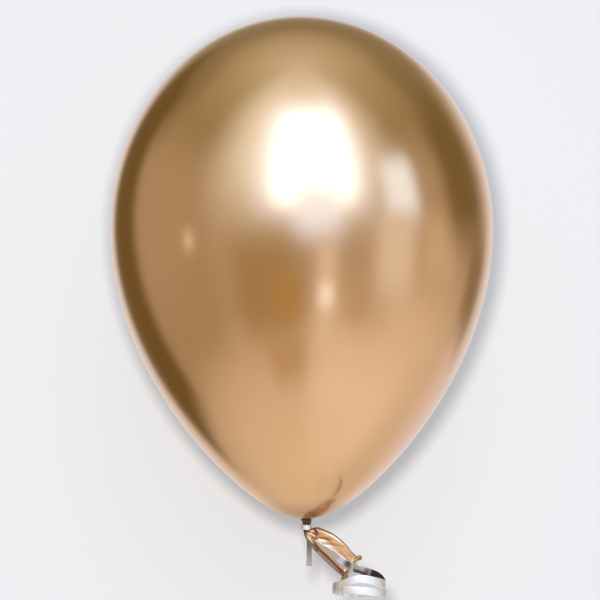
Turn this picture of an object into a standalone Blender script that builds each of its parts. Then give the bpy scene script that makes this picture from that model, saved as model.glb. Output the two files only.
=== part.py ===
"""Inflated latex balloon, tied off at the neck with one length of curling ribbon.

The balloon is one dipped moulding, so its nodes are regions of that moulding: the stretched
envelope, the gathered neck under the tie, the slack tail below it and the rolled rim at the
tail's mouth. The ribbon is a second piece: turns round the neck, a knot at the back, a short
straight end and a long end that runs over the tail and ends in a curl.

Frame: metres, +Z up along the balloon's axis, origin at the middle of the tie, front to -Y.
"""

import math

import bmesh
import bpy
from mathutils import Matrix, Vector

MM = 0.001

# The envelope
BODY_RADIUS = 140.0 * MM
WIDEST_Z = 218.0 * MM
CROWN_Z = 373.5 * MM
SHOULDER_HANDLE_Z = 100.0 * MM  # pulls the lower outline straight down from the widest ring
BOTTOM_HANDLE = (32.5 * MM, 4.0 * MM)  # radius and height that blunt the underside
BOTTOM_RADIUS = 7.0 * MM  # where the underside turns down into the throat
BOTTOM_Z = 5.4 * MM
THROAT_RADIUS = 4.6 * MM
THROAT_Z = 4.0 * MM
ENVELOPE_WALL = 0.3 * MM
ENVELOPE_SEGMENTS = 40
CROWN_STEPS = 11
LOWER_STEPS = 13

# The tie
GAP = 0.3 * MM  # left between pieces that touch
NECK_RADIUS = 2.4 * MM  # the neck squeezed inside the ribbon
NECK_FLUTES = 8
NECK_SEGMENTS = 32
FLUTE_DEPTH = 0.12
WRAP_INNER = NECK_RADIUS + GAP
WRAP_OUTER = 3.7 * MM
WRAP_TOP = 2.0 * MM
WRAP_BOTTOM = -2.2 * MM
WRAP_TURNS = 3
WRAP_GROOVE = 0.25 * MM
WRAP_SEGMENTS = 28
KNOT_RADIUS = 2.2 * MM
KNOT_DEPTH = 1.6 * MM  # half its size from front to back
KNOT_PLACE = Vector((0.8 * MM, WRAP_OUTER + GAP + KNOT_DEPTH, -0.6 * MM))

# The slack tail, along its own axis from the point where it bends at the tie
TAIL_PIVOT = Vector((0.0, 0.0, -5.5 * MM))
TAIL_DROOP = math.radians(38.0)
TAIL_LENGTH = 41.2 * MM  # from the bend to the middle of the rolled rim
TAIL_ROOT = 3.4 * MM
TAIL_ROOT_BALL = TAIL_ROOT - GAP - 0.1 * MM  # round end of the neck, which the tail turns about
TAIL_ROOT_HALF_WIDTH = 2.5 * MM
TAIL_MOUTH_HALF_WIDTH = 8.9 * MM
TAIL_ROOT_HALF_DEPTH = 2.4 * MM
TAIL_MOUTH_HALF_DEPTH = 1.7 * MM
TAIL_FLARE = 4.5  # how soon the tail widens below the tie
TAIL_WALL = 0.45 * MM
TAIL_SEGMENTS = 24
TAIL_STATIONS = 9
BEAD_RADIUS = 1.15 * MM

# The ribbon
RIBBON_WIDTH = 6.0 * MM
RIBBON_THICKNESS = 0.4 * MM
RUN_PLANE_Y = -(WRAP_OUTER + GAP + RIBBON_THICKNESS / 2 + 0.05 * MM)
RUN_ROUTE = (  # x and z of the long end, over the tail and past the rim
    (1.6 * MM, -6.4 * MM),
    (7.5 * MM, -10.9 * MM),
    (14.5 * MM, -16.8 * MM),
    (22.0 * MM, -22.6 * MM),
    (28.5 * MM, -27.4 * MM),
    (33.5 * MM, -30.1 * MM),
    (38.0 * MM, -31.2 * MM),
)
SHORT_END_TOP = KNOT_PLACE.z - KNOT_RADIUS - GAP
SHORT_END_Y = KNOT_PLACE.y + 0.4 * MM
SHORT_END_ROUTE = (  # x, y and z of the straight end, hanging behind the tail
    (0.8 * MM, SHORT_END_Y, SHORT_END_TOP),
    (1.0 * MM, SHORT_END_Y + 0.1 * MM, -12.0 * MM),
    (1.3 * MM, SHORT_END_Y - 0.1 * MM, -22.0 * MM),
    (1.1 * MM, SHORT_END_Y + 0.1 * MM, -32.0 * MM),
)
SHORT_END_TURN = math.radians(-8.0)  # about its length, so that its flat side half faces front
RIBBON_STEP = 2.5 * MM  # distance between points of a strip
CURL_RADIUS = 14.6 * MM
CURL_HALF_HEIGHT = 10.5 * MM
CURL_WALL = 1.0 * MM
CURL_LEAN = math.radians(18.0)  # its lower end comes forward
CURL_REACH = CURL_RADIUS * math.cos(CURL_LEAN) + CURL_HALF_HEIGHT * math.sin(CURL_LEAN)
CURL_PLACE = Vector(
    (41.0 * MM, RUN_PLANE_Y - RIBBON_THICKNESS / 2 - GAP - CURL_REACH, -41.0 * MM)
)
CURL_SEGMENTS = 40

# Colours, roughness and metallic value of each finish
GOLD = ((0.72, 0.44, 0.20, 1.0), 0.18, 1.0)
DARK_GOLD = ((0.50, 0.28, 0.11, 1.0), 0.30, 0.9)
SILVER = ((0.86, 0.86, 0.88, 1.0), 0.15, 1.0)


def clear_scene():
    """Remove every object that the opened file holds."""
    for item in list(bpy.data.objects):
        bpy.data.objects.remove(item, do_unlink=True)


def make_material(name, finish):
    """One Principled material with the finish's colour, roughness and metallic value."""
    colour, roughness, metallic = finish
    material = bpy.data.materials.new(name)
    material.use_nodes = True
    shader = material.node_tree.nodes["Principled BSDF"]
    shader.inputs["Base Color"].default_value = colour
    shader.inputs["Roughness"].default_value = roughness
    shader.inputs["Metallic"].default_value = metallic
    return material


def add_object(name, data, finish, place=(0.0, 0.0, 0.0)):
    """Link mesh or curve data as a named object with its own material."""
    item = bpy.data.objects.new(name, data)
    item.location = place
    item.data.materials.append(make_material(name, finish))
    bpy.context.scene.collection.objects.link(item)
    return item


def add_mesh(name, bm, finish, place=(0.0, 0.0, 0.0)):
    """Turn a finished bmesh into a smooth-shaded object."""
    bmesh.ops.recalc_face_normals(bm, faces=bm.faces)
    mesh = bpy.data.meshes.new(name)
    bm.to_mesh(mesh)
    bm.free()
    mesh.shade_smooth()
    mesh.set_sharp_from_angle(angle=math.radians(40.0))
    return add_object(name, mesh, finish, place)


def add_wall(item, thickness):
    """Give an open surface a wall that grows inwards."""
    wall = item.modifiers.new("wall", "SOLIDIFY")
    wall.thickness = thickness
    wall.offset = -1.0
    wall.use_even_offset = True


def turned(outline, segments, closed=False):
    """Spin an outline of (radius, height) points round Z."""
    bm = bmesh.new()
    points = [bm.verts.new((radius, 0.0, height)) for radius, height in outline]
    for start, end in zip(points, points[1:]):
        bm.edges.new((start, end))
    if closed:
        bm.edges.new((points[-1], points[0]))
    profile = list(bm.verts) + list(bm.edges)
    bmesh.ops.spin(
        bm, geom=profile, axis=(0, 0, 1), cent=(0, 0, 0), angle=math.tau, steps=segments, use_merge=True
    )
    bmesh.ops.remove_doubles(bm, verts=bm.verts, dist=0.001 * MM)
    return bm


def bezier(start, start_handle, end_handle, end, steps):
    """Points of one cubic curve in the (radius, height) plane, with both ends."""
    points = []
    for step in range(steps + 1):
        t = step / steps
        weights = ((1 - t) ** 3, 3 * (1 - t) ** 2 * t, 3 * (1 - t) * t**2, t**3)
        corners = (start, start_handle, end_handle, end)
        radius = sum(w * corner[0] for w, corner in zip(weights, corners))
        height = sum(w * corner[1] for w, corner in zip(weights, corners))
        points.append((radius, height))
    return points


def smooth_route(route, step):
    """Points a step apart on a smooth curve through the route's points."""
    fine = []
    padded = [2 * route[0] - route[1], *route, 2 * route[-1] - route[-2]]
    for before, start, end, after in zip(padded, padded[1:], padded[2:], padded[3:]):
        count = max(1, round((end - start).length / step))
        for index in range(count):
            t = index / count
            pull = (end - before) * t
            bend = (2 * before - 5 * start + 4 * end - after) * t**2
            twist = (3 * start - before - 3 * end + after) * t**3
            fine.append(0.5 * (2 * start + pull + bend + twist))
    return fine + [route[-1]]


def add_strip(name, points, turn, finish, place=(0.0, 0.0, 0.0)):
    """A flat ribbon along its points: an extruded curve with filled caps."""
    data = bpy.data.curves.new(name, "CURVE")
    data.dimensions = "3D"
    data.twist_mode = "MINIMUM"
    data.fill_mode = "FULL"
    data.bevel_depth = RIBBON_THICKNESS / 2
    data.bevel_resolution = 1
    data.render_resolution_u = 0
    data.extrude = RIBBON_WIDTH / 2 - RIBBON_THICKNESS / 2
    data.use_fill_caps = True
    spline = data.splines.new("POLY")
    spline.points.add(len(points) - 1)
    for point, target in zip(spline.points, points):
        point.co = (*(target - Vector(place)), 1.0)
        point.tilt = turn
    return add_object(name, data, finish, place)


def envelope_outline():
    """The outer outline from the throat's edge round the underside to the crown."""
    underside = bezier(
        (BODY_RADIUS, WIDEST_Z),
        (BODY_RADIUS, SHOULDER_HANDLE_Z),
        BOTTOM_HANDLE,
        (BOTTOM_RADIUS, BOTTOM_Z),
        LOWER_STEPS,
    )
    outline = [(THROAT_RADIUS, THROAT_Z)] + underside[::-1]
    for step in range(1, CROWN_STEPS + 1):
        angle = math.pi / 2 * step / CROWN_STEPS
        height = WIDEST_Z + (CROWN_Z - WIDEST_Z) * math.sin(angle)
        radius = BODY_RADIUS * math.cos(angle) if step < CROWN_STEPS else 0.0
        outline.append((radius, height))
    return outline


def make_envelope():
    """The stretched skin that holds the gas, open at the throat."""
    bm = turned(envelope_outline(), ENVELOPE_SEGMENTS)
    envelope = add_mesh("envelope", bm, GOLD)
    add_wall(envelope, ENVELOPE_WALL)


def make_neck_gather():
    """The neck bunched into pleats under the ribbon, with a round lower end."""
    top = THROAT_Z - GAP
    outline = [(0.0, top), (THROAT_RADIUS - 0.1 * MM, top), (NECK_RADIUS + 0.6 * MM, top - 0.9 * MM)]
    outline += [(NECK_RADIUS, WRAP_TOP), (NECK_RADIUS, WRAP_BOTTOM)]
    for step in range(2, 9):
        angle = math.pi * step / 8
        radius = TAIL_ROOT_BALL * math.sin(angle) if step < 8 else 0.0
        height = TAIL_PIVOT.z + TAIL_ROOT_BALL * math.cos(angle)
        outline.append((radius, height))
    bm = turned(outline, NECK_SEGMENTS)
    for vert in bm.verts:
        if vert.co.z > WRAP_TOP + 0.1 * MM:
            turn = math.atan2(vert.co.y, vert.co.x)
            pleat = 1.0 - FLUTE_DEPTH * (0.5 - 0.5 * math.cos(NECK_FLUTES * turn))
            vert.co.x *= pleat
            vert.co.y *= pleat
    add_mesh("neck_gather", bm, DARK_GOLD)


def make_ribbon_wrap():
    """The turns of ribbon that close the neck, as one ridged ring."""
    outline = [(WRAP_INNER, WRAP_TOP), (WRAP_INNER, WRAP_BOTTOM)]
    pitch = (WRAP_TOP - WRAP_BOTTOM) / WRAP_TURNS
    for turn in range(WRAP_TURNS):
        low = WRAP_BOTTOM + turn * pitch
        outline.append((WRAP_OUTER - WRAP_GROOVE, low))
        outline.append((WRAP_OUTER, low + pitch / 3))
        outline.append((WRAP_OUTER, low + pitch * 2 / 3))
    outline.append((WRAP_OUTER - WRAP_GROOVE, WRAP_TOP))
    bm = turned(outline, WRAP_SEGMENTS, closed=True)
    add_mesh("ribbon_wrap", bm, SILVER)


def make_ribbon_knot():
    """The overhand knot at the back of the wrap, pulled tight into a pellet."""
    bm = bmesh.new()
    bmesh.ops.create_uvsphere(bm, u_segments=16, v_segments=10, radius=KNOT_RADIUS)
    bmesh.ops.scale(bm, vec=(1.0, KNOT_DEPTH / KNOT_RADIUS, 1.0), verts=bm.verts)
    add_mesh("ribbon_knot", bm, SILVER, KNOT_PLACE)


def make_tail_pivot():
    """The empty at the bend of the tail, turned so that +X runs down the tail."""
    pivot = bpy.data.objects.new("tail_pivot", None)
    pivot.location = TAIL_PIVOT
    pivot.rotation_euler = (0.0, TAIL_DROOP, 0.0)
    bpy.context.scene.collection.objects.link(pivot)
    return pivot


def tail_half_sizes(along):
    """Half width and half depth of the flattened tail, along from 0 at its root to 1."""
    flare = 1.0 - (1.0 - along) ** TAIL_FLARE
    half_width = TAIL_ROOT_HALF_WIDTH + (TAIL_MOUTH_HALF_WIDTH - TAIL_ROOT_HALF_WIDTH) * flare
    half_depth = TAIL_ROOT_HALF_DEPTH + (TAIL_MOUTH_HALF_DEPTH - TAIL_ROOT_HALF_DEPTH) * along
    return half_width, half_depth


def make_neck_tail(pivot):
    """The slack neck below the tie: a flattened funnel, open at its mouth."""
    mouth = TAIL_LENGTH - BEAD_RADIUS - GAP
    bm = bmesh.new()
    rings = []
    for station in range(TAIL_STATIONS + 1):
        along = station / TAIL_STATIONS
        half_width, half_depth = tail_half_sizes(along)
        place = Matrix.Translation((TAIL_ROOT + (mouth - TAIL_ROOT) * along, 0.0, 0.0))
        stand = Matrix.Rotation(math.pi / 2, 4, "Y")
        flat = Matrix.Diagonal((half_width, half_depth, 1.0, 1.0))
        made = bmesh.ops.create_circle(
            bm, cap_ends=station == 0, segments=TAIL_SEGMENTS, radius=1.0, matrix=place @ stand @ flat
        )
        ring = set(made["verts"])
        rings.append([edge for edge in bm.edges if ring.issuperset(edge.verts)])
    for near, far in zip(rings, rings[1:]):
        bmesh.ops.bridge_loops(bm, edges=near + far)
    tail = add_mesh("neck_tail", bm, GOLD)
    tail.parent = pivot
    add_wall(tail, TAIL_WALL)


def make_rolled_rim(pivot):
    """The thick bead rolled at the balloon's mouth, lying flat like the tail."""
    data = bpy.data.curves.new("rolled_rim", "CURVE")
    data.dimensions = "3D"
    data.bevel_depth = BEAD_RADIUS
    data.bevel_resolution = 3
    data.render_resolution_u = 0
    spline = data.splines.new("POLY")
    spline.use_cyclic_u = True
    count = 32
    spline.points.add(count - 1)
    for index, point in enumerate(spline.points):
        angle = math.tau * index / count
        across = TAIL_MOUTH_HALF_WIDTH * math.sin(angle)
        deep = TAIL_MOUTH_HALF_DEPTH * math.cos(angle)
        point.co = (TAIL_LENGTH, deep, across, 1.0)
    add_object("rolled_rim", data, DARK_GOLD).parent = pivot


def make_ribbon_ends():
    """The long end as a strip over the tail and a curl, and the short hanging end."""
    run = smooth_route([Vector((x, RUN_PLANE_Y, z)) for x, z in RUN_ROUTE], RIBBON_STEP)
    add_strip("ribbon_front_run", run, 0.0, SILVER, TAIL_PIVOT)
    inner = CURL_RADIUS - CURL_WALL
    ring = [(inner, CURL_HALF_HEIGHT), (inner, -CURL_HALF_HEIGHT)]
    ring += [(CURL_RADIUS, -CURL_HALF_HEIGHT), (CURL_RADIUS, CURL_HALF_HEIGHT)]
    bm = turned(ring, CURL_SEGMENTS, closed=True)
    curl = add_mesh("ribbon_curl", bm, SILVER, CURL_PLACE)
    curl.rotation_euler.x = -CURL_LEAN
    short = smooth_route([Vector(point) for point in SHORT_END_ROUTE], RIBBON_STEP)
    add_strip("ribbon_short_end", short, SHORT_END_TURN, SILVER, KNOT_PLACE)


def main():
    """Model the balloon and its ribbon."""
    clear_scene()
    make_envelope()
    make_neck_gather()
    make_ribbon_wrap()
    make_ribbon_knot()
    pivot = make_tail_pivot()
    make_neck_tail(pivot)
    make_rolled_rim(pivot)
    make_ribbon_ends()


main()
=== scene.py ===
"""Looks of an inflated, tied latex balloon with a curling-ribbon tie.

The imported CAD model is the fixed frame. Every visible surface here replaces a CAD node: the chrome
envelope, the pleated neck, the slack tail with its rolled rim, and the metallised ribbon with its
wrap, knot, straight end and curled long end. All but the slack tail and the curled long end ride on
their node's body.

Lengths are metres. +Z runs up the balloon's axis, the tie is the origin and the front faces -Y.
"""

import logging
import math
from collections.abc import Callable, Iterable, Sequence
from dataclasses import dataclass
from enum import Enum

import bmesh
import bpy
from mathutils import Matrix, Vector, noise

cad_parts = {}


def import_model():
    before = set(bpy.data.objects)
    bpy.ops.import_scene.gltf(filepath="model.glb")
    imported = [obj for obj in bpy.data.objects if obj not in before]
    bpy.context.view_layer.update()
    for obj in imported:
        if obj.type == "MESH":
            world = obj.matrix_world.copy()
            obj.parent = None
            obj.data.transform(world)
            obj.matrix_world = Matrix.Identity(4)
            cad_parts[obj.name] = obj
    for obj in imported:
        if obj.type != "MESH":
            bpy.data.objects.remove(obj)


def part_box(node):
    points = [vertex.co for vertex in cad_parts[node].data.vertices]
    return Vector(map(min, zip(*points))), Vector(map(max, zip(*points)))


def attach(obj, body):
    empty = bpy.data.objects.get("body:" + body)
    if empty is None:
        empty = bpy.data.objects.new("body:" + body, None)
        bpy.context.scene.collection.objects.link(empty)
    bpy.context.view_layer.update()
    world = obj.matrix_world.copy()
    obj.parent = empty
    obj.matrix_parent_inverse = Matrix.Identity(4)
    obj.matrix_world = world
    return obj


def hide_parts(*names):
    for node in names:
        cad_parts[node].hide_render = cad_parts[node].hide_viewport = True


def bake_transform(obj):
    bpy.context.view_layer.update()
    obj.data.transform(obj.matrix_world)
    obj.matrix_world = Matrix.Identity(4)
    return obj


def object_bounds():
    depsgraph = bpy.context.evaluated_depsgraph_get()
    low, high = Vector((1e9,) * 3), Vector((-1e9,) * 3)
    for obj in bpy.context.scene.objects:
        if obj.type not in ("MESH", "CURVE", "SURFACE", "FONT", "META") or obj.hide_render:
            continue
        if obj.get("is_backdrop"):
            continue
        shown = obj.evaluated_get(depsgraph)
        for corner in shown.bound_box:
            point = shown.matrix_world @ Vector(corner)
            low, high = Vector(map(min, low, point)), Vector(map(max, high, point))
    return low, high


MM = 0.001
SEAM = 0.002 * MM  # verts nearer than this are one vert

log = logging.getLogger("balloon")

Surface = Callable[[float, float], Vector]
Shade = Callable[[float, float], float]
Socket = bpy.types.NodeSocket
Colour = tuple[float, float, float]


class Body(str, Enum):
    """The moving bodies of the CAD frame."""

    BALLOON = "balloon"
    TAIL = "tail"
    CURL = "curl"
    SHORT_END = "short_end"


class Slot(str, Enum):
    """The material slots of the record."""

    STRETCHED = "stretched_latex"
    SLACK = "slack_latex"
    ROLLED = "rolled_latex"
    RIBBON = "silver_ribbon"


# ---------------------------------------------------------------- small maths


def smooth(low: float, high: float, value: float) -> float:
    """Ease from 0 at low to 1 at high."""
    share = min(1.0, max(0.0, (value - low) / (high - low)))
    return share * share * (3.0 - 2.0 * share)


def hump(centre: float, spread: float, value: float) -> float:
    """A bell of height 1 at its centre."""
    return math.exp(-(((value - centre) / spread) ** 2))


def catmull(route: Sequence[Vector], share: float) -> Vector:
    """Point on a smooth curve through a route.

    Args:
        route: points that the curve passes through.
        share: place along the route, from 0 to 1, with equal shares between its points.

    Returns:
        The point on the curve.
    """
    spot = min(max(share, 0.0), 1.0) * (len(route) - 1)
    index = min(int(spot), len(route) - 2)
    t = spot - index
    start, end = route[index], route[index + 1]
    before = route[index - 1] if index else 2 * start - end
    after = route[index + 2] if index + 2 < len(route) else 2 * end - start
    pull = (end - before) * t
    bend = (2 * before - 5 * start + 4 * end - after) * t**2
    twist = (3 * start - before - 3 * end + after) * t**3
    return 0.5 * (2 * start + pull + bend + twist)


def bezier(corners: Sequence[Vector], share: float) -> Vector:
    """Point on the cubic curve of four corners, at a share from 0 to 1.

    Args:
        corners: the curve's start, its two handles and its end.
        share: place along the curve, from 0 to 1.

    Returns:
        The point on the curve.
    """
    first, second, third, last = corners
    rest = 1.0 - share
    near = rest**3 * first + 3 * rest**2 * share * second
    return near + 3 * rest * share**2 * third + share**3 * last


def traced(route: Sequence[Vector], steps: int) -> list[Vector]:
    """Points on the smooth curve through a route, in equal shares of it."""
    return [catmull(route, step / steps) for step in range(steps + 1)]


def even_steps(points: Sequence[Vector], step: float, length: float | None = None) -> list[Vector]:
    """Points an even distance apart on a line of points.

    Args:
        points: the line.
        step: distance between the new points, which is rounded to fit.
        length: where to cut the line, or None for its whole length.

    Returns:
        The new points, with both ends.
    """
    marks = [0.0]
    for start, end in zip(points, points[1:]):
        marks.append(marks[-1] + (end - start).length)
    total = marks[-1] if length is None else length
    count = max(2, round(total / step))
    even, index = [], 0
    for number in range(count + 1):
        mark = total * number / count
        while index < len(points) - 2 and marks[index + 1] < mark:
            index += 1
        share = (mark - marks[index]) / (marks[index + 1] - marks[index])
        even.append(points[index].lerp(points[index + 1], share))
    return even


# ---------------------------------------------------------------- mesh helpers


def mapped_grid(
    columns: int, rows: int, place: Surface, closed: bool, fold: Shade | None = None
) -> bmesh.types.BMesh:
    """Bend a flat grid into a surface that carries a UV map.

    Args:
        columns: faces along the first share.
        rows: faces along the second share.
        place: gives the point for a pair of shares, each from 0 to 1.
        closed: whether the grid's first and last columns meet in a seam.
        fold: the painted shade of the skin at a pair of shares, kept in the attribute "fold".

    Returns:
        The bent grid, with its seam merged.
    """
    bm = bmesh.new()
    bm.loops.layers.uv.new("surface")
    layer = bm.verts.layers.float.new("fold")
    bmesh.ops.create_grid(bm, x_segments=columns, y_segments=rows, size=0.5, calc_uvs=True)
    for vert in bm.verts:
        first, second = vert.co.x + 0.5, vert.co.y + 0.5
        vert.co = place(first, second)
        vert[layer] = fold(first, second) if fold else 0.0
    if closed:
        bmesh.ops.remove_doubles(bm, verts=bm.verts, dist=SEAM)
    bmesh.ops.recalc_face_normals(bm, faces=bm.faces)
    return bm


def close_ends(bm: bmesh.types.BMesh) -> None:
    """Fill every open end of a tube and point the faces outwards.

    Args:
        bm: the tube.
    """
    open_edges = [edge for edge in bm.edges if edge.is_boundary]
    bmesh.ops.holes_fill(bm, edges=open_edges, sides=0)
    bmesh.ops.recalc_face_normals(bm, faces=bm.faces)


def finished(
    name: str, bm: bmesh.types.BMesh, finishes: Iterable[bpy.types.Material]
) -> bpy.types.Object:
    """Turn a bmesh into a smooth-shaded object at the origin.

    Args:
        name: the piece's name.
        bm: its mesh, which is freed.
        finishes: its materials, in the order of its faces' material numbers.

    Returns:
        The linked object.
    """
    mesh = bpy.data.meshes.new(name)
    bm.to_mesh(mesh)
    bm.free()
    mesh.shade_smooth()
    piece = bpy.data.objects.new(name, mesh)
    for finish in finishes:
        mesh.materials.append(finish)
    bpy.context.scene.collection.objects.link(piece)
    log.info("%s: %d faces", name, len(mesh.polygons))
    return piece


def thicken(piece: bpy.types.Object, thickness: float) -> None:
    """Give an open skin a wall that grows inwards.

    Args:
        piece: the skin.
        thickness: the wall's thickness.
    """
    wall = piece.modifiers.new("wall", "SOLIDIFY")
    wall.thickness = thickness
    wall.offset = -1.0


# ---------------------------------------------------------------- node helpers

NUMBER = "NodeSocketFloat"
VECTOR = "NodeSocketVector"


@dataclass
class Graph:
    """A node tree with short calls for the nodes that the finishes share."""

    tree: bpy.types.NodeTree

    def add(self, kind: str, **settings: object) -> bpy.types.Node:
        """Add a node and set its properties.

        Args:
            kind: the node's type.
            settings: its properties, by name.

        Returns:
            The node.
        """
        node = self.tree.nodes.new(kind)
        for key, value in settings.items():
            setattr(node, key, value)
        return node

    def feed(self, socket: Socket, value: object) -> None:
        """Link an output to a socket, or set a plain value on it.

        Args:
            socket: the input.
            value: an output, or a number, colour or vector.
        """
        if isinstance(value, bpy.types.NodeSocket):
            self.tree.links.new(value, socket)
        elif isinstance(value, tuple) and len(value) == 3 and socket.type == "RGBA":
            socket.default_value = (*value, 1.0)
        else:
            socket.default_value = value

    def math(self, operation: str, *values: object, clamp: bool = False) -> Socket:
        """Output of a Math node on one to three numbers.

        Args:
            operation: the node's operation.
            clamp: whether the result stays between 0 and 1.
            values: its inputs, each an output or a number.

        Returns:
            The node's output.
        """
        node = self.add("ShaderNodeMath", operation=operation, use_clamp=clamp)
        for socket, value in zip(node.inputs, values):
            self.feed(socket, value)
        return node.outputs[0]

    def mix(self, share: object, first: object, second: object) -> Socket:
        """Output of a colour mix from first, at share 0, to second, at share 1.

        Args:
            share: how much of the second colour shows.
            first: colour at share 0.
            second: colour at share 1.

        Returns:
            The mixed colour.
        """
        node = self.add("ShaderNodeMix", data_type="RGBA")
        self.feed(node.inputs["Factor"], share)
        self.feed(node.inputs[6], first)
        self.feed(node.inputs[7], second)
        return node.outputs[2]

    def scaled(self, value: object, low: float, high: float, to_low: float, to_high: float) -> Socket:
        """Output of a clamped, smoothed Map Range.

        Args:
            value: the number to map.
            low: its value at the start of the range.
            high: its value at the end of the range.
            to_low: the result at low and below.
            to_high: the result at high and above.

        Returns:
            The mapped number.
        """
        node = self.add("ShaderNodeMapRange", interpolation_type="SMOOTHSTEP")
        for number, setting in enumerate((value, low, high, to_low, to_high)):
            self.feed(node.inputs[number], setting)
        return node.outputs[0]

    def place(self) -> Socket:
        """The Object coordinate of a piece."""
        return self.add("ShaderNodeTexCoord").outputs["Object"]

    def group(self, group: bpy.types.NodeTree, **values: object) -> bpy.types.Node:
        """Place a shared group and feed its named inputs.

        Args:
            group: the shared group.
            values: its inputs, by name, with underscores for spaces.

        Returns:
            The placed group's node.
        """
        node = self.add("ShaderNodeGroup", node_tree=group)
        for key, value in values.items():
            self.feed(node.inputs[key.replace("_", " ")], value)
        return node

    def emboss(self, shader: bpy.types.Node, height: Socket, depth: float, strength: float) -> None:
        """Bump a shader's normal by a height from 0 to 1.

        Args:
            shader: the Principled shader.
            height: the height, from 0 to 1.
            depth: the relief's depth in metres.
            strength: how strongly it shows.
        """
        bump = self.add("ShaderNodeBump")
        self.feed(bump.inputs["Strength"], strength)
        self.feed(bump.inputs["Distance"], depth)
        self.feed(bump.inputs["Height"], height)
        self.feed(shader.inputs["Normal"], bump.outputs[0])


def new_group(
    name: str, inputs: dict[str, tuple[str, float]], outputs: dict[str, str]
) -> tuple[Graph, object, object]:
    """Start a shader node group.

    Args:
        name: the group's name.
        inputs: socket type and first value of each input, by name.
        outputs: socket type of each output, by name.

    Returns:
        Its graph, the outputs of its input node and the inputs of its output node.
    """
    tree = bpy.data.node_groups.new(name, "ShaderNodeTree")
    for key, (kind, value) in inputs.items():
        socket = tree.interface.new_socket(name=key, in_out="INPUT", socket_type=kind)
        if kind == NUMBER:
            socket.default_value = value
    for key, kind in outputs.items():
        tree.interface.new_socket(name=key, in_out="OUTPUT", socket_type=kind)
    graph = Graph(tree)
    return graph, graph.add("NodeGroupInput").outputs, graph.add("NodeGroupOutput").inputs


@dataclass
class SharedEffects:
    """Shader node groups that more than one finish uses, each built once."""

    mottle: bpy.types.NodeTree
    dust: bpy.types.NodeTree
    drawn: bpy.types.NodeTree
    creases: bpy.types.NodeTree

    @classmethod
    def build(cls) -> "SharedEffects":
        """Build every shared group."""
        return cls(cls._mottle(), cls._dust(), cls._drawn(), cls._creases())

    @staticmethod
    def _mottle() -> bpy.types.NodeTree:
        """Cloudy unevenness of a dipped or coated skin, about 0.5 with a given contrast.

        Returns:
            The group.
        """
        inputs = {"Place": (VECTOR, 0.0), "Size": (NUMBER, 100.0), "Contrast": (NUMBER, 0.2)}
        graph, given, made = new_group("mottle", inputs, {"Value": NUMBER})
        cloud = graph.add("ShaderNodeTexNoise")
        graph.feed(cloud.inputs["Vector"], given["Place"])
        graph.feed(cloud.inputs["Scale"], given["Size"])
        graph.feed(cloud.inputs["Detail"], 4.0)
        centred = graph.math("SUBTRACT", cloud.outputs[0], 0.5)
        spread = graph.math("MULTIPLY", centred, given["Contrast"])
        graph.feed(made["Value"], graph.math("ADD", spread, 0.5, clamp=True))
        return graph.tree

    @staticmethod
    def _dust() -> bpy.types.NodeTree:
        """Sparse fine specks, 1 on a speck and 0 between them.

        Returns:
            The group.
        """
        inputs = {"Place": (VECTOR, 0.0), "Size": (NUMBER, 900.0), "Amount": (NUMBER, 0.1)}
        graph, given, made = new_group("dust", inputs, {"Mask": NUMBER})
        cells = graph.add("ShaderNodeTexVoronoi")
        graph.feed(cells.inputs["Vector"], given["Place"])
        graph.feed(cells.inputs["Scale"], given["Size"])
        split = graph.add("ShaderNodeSeparateColor")
        graph.feed(split.inputs[0], cells.outputs["Color"])
        chosen = graph.math("LESS_THAN", split.outputs[0], given["Amount"])
        near = graph.scaled(cells.outputs["Distance"], 0.12, 0.3, 1.0, 0.0)
        graph.feed(made["Mask"], graph.math("MULTIPLY", chosen, near))
        return graph.tree

    @staticmethod
    def _drawn() -> bpy.types.NodeTree:
        """Fine lines drawn along a strip, from the share across its width.

        Returns:
            The group.
        """
        inputs = {"Across": (NUMBER, 0.5), "Along": (NUMBER, 0.0), "Lines": (NUMBER, 12.0)}
        graph, given, made = new_group("drawn_lines", inputs, {"Height": NUMBER, "Streak": NUMBER})
        turns = graph.math("MULTIPLY", given["Across"], given["Lines"])
        wave = graph.math("SINE", graph.math("MULTIPLY", turns, math.tau))
        graph.feed(made["Height"], graph.math("MULTIPLY_ADD", wave, 0.5, 0.5))
        spot = graph.add("ShaderNodeCombineXYZ")
        graph.feed(spot.inputs[0], graph.math("MULTIPLY", turns, 2.7))
        graph.feed(spot.inputs[1], given["Along"])
        streak = graph.add("ShaderNodeTexNoise")
        graph.feed(streak.inputs["Vector"], spot.outputs[0])
        graph.feed(streak.inputs["Scale"], 1.0)
        graph.feed(streak.inputs["Detail"], 2.0)
        graph.feed(made["Streak"], streak.outputs[0])
        return graph.tree

    @staticmethod
    def _creases() -> bpy.types.NodeTree:
        """Fine wrinkles of slack rubber, stretched along one direction of the piece.

        Returns:
            The group.
        """
        inputs = {"Place": (VECTOR, 0.0), "Size": (NUMBER, 400.0), "Bend": (NUMBER, 1.0)}
        graph, given, made = new_group("creases", inputs, {"Height": NUMBER})
        wave = graph.add("ShaderNodeTexNoise")
        graph.feed(wave.inputs["Vector"], given["Place"])
        graph.feed(wave.inputs["Scale"], given["Size"])
        graph.feed(wave.inputs["Detail"], 3.0)
        graph.feed(wave.inputs["Distortion"], given["Bend"])
        folded = graph.math("ABSOLUTE", graph.math("SUBTRACT", wave.outputs[0], 0.5))
        graph.feed(made["Height"], graph.scaled(folded, 0.0, 0.22, 0.0, 1.0))
        return graph.tree


# ---------------------------------------------------------------- finishes


def start_material(name: str) -> tuple[bpy.types.Material, Graph, bpy.types.Node]:
    """A node material with its graph and its Principled shader.

    Args:
        name: the material's name.

    Returns:
        The material, its graph and its shader.
    """
    material = bpy.data.materials.new(name)
    material.use_nodes = True
    graph = Graph(material.node_tree)
    return material, graph, material.node_tree.nodes["Principled BSDF"]


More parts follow.
